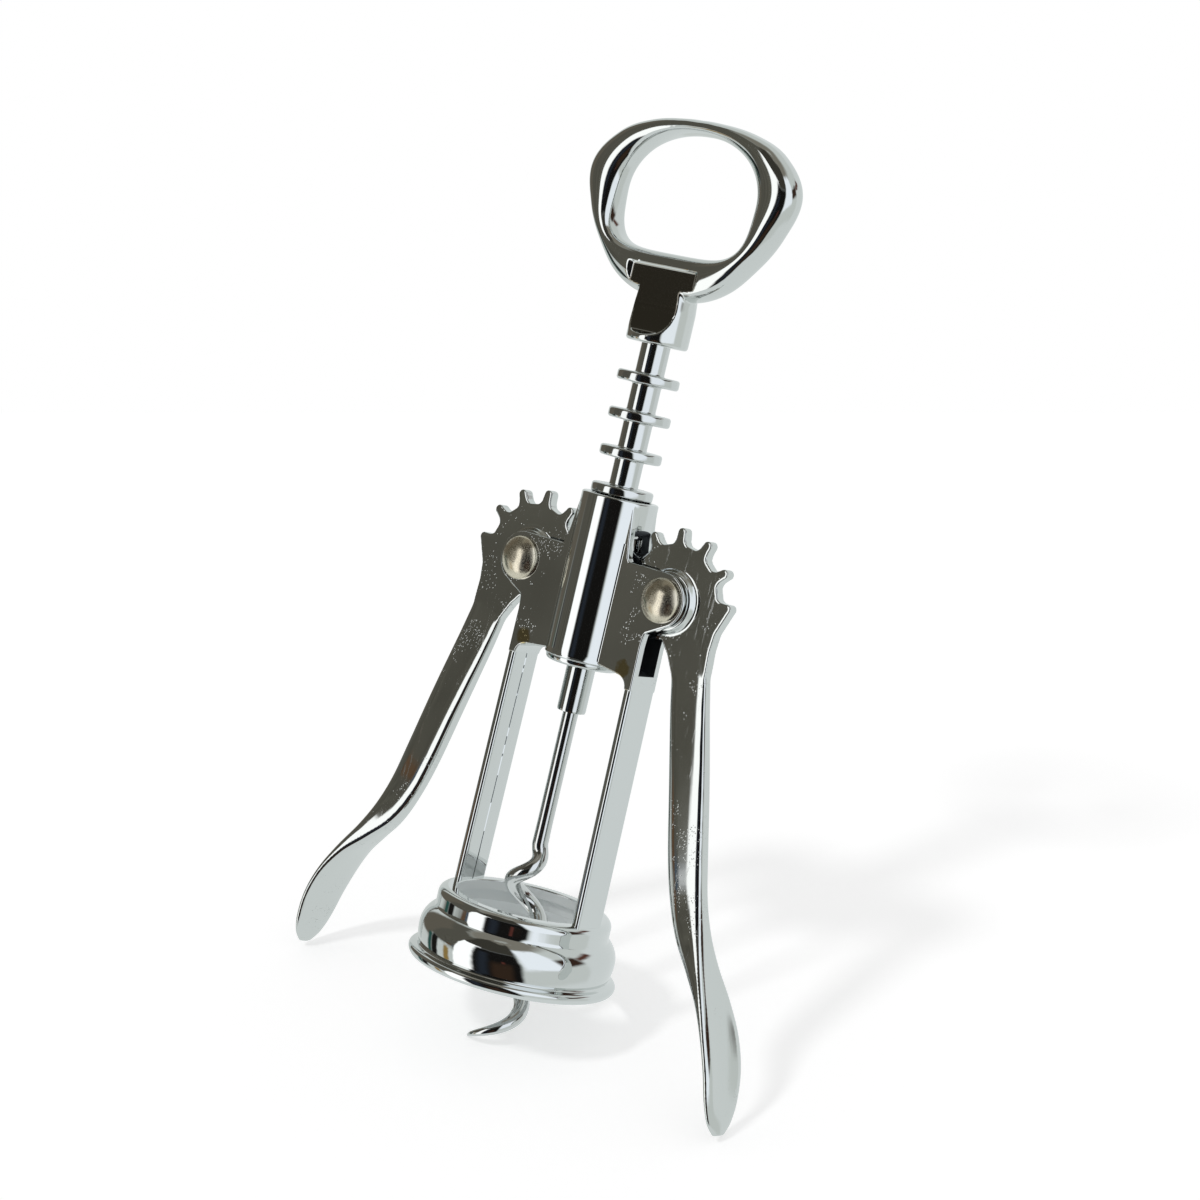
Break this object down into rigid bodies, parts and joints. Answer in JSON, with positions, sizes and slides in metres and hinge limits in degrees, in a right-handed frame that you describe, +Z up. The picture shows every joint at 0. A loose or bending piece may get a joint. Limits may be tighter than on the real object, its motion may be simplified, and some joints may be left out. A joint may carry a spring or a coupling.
{
  "type": "wing corkscrew",
  "caption": "Wing corkscrew with a bottle bell, two geared lever arms, a ringed rack, a wire worm and a ring handle that opens crown caps.",
  "frame": {"origin": "centre of the bell's lower rim, which sits on the bottle", "axes": "+Z up the barrel towards the handle, +X towards the right lever's pivot, -Y towards the front"},
  "size_m": [0.111, 0.0408, 0.1808],
  "materials": {
    "frame": "chrome plated zinc casting, polished",
    "levers": "chrome plated zinc casting, with small pits on the flat faces",
    "rivets": "nickel plated steel, warm and slightly satin",
    "rack": "chrome plated zinc casting",
    "worm": "chrome plated steel wire",
    "handle": "chrome plated zinc casting, polished"
  },
  "bodies": {
    "frame": {"frame": "frame", "rivet_left": "rivets", "rivet_right": "rivets"},
    "lever_right": {"lever_right": "levers"},
    "lever_left": {"lever_left": "levers"},
    "rack": {"rack": "rack"},
    "spindle": {"worm": "worm", "handle": "handle"}
  },
  "joints": [
    {"name": "lever_right_hinge", "type": "hinge", "parent": "frame", "child": "lever_right", "pos_m": [0.0177, 0, 0.078], "axis": [0, -1, 0], "range_deg": [-16.1, 117.1]},
    {"name": "lever_left_hinge", "type": "hinge", "parent": "frame", "child": "lever_left", "pos_m": [-0.0177, 0, 0.078], "axis": [0, 1, 0], "range_deg": [-16.1, 117.1]},
    {"name": "rack_slide", "type": "slide", "parent": "frame", "child": "rack", "axis": [0, 0, 1], "range_m": [-0.0292, 0.004]},
    {"name": "spindle_turn", "type": "hinge", "parent": "rack", "child": "spindle", "pos_m": [0, 0, 0.088], "axis": [0, 0, 1], "continuous": true}
  ],
  "couplings": [
    {"joint": "lever_right_hinge", "follows": "rack_slide", "rad_per_m": -69.93},
    {"joint": "lever_left_hinge", "follows": "rack_slide", "rad_per_m": -69.93}
  ]
}
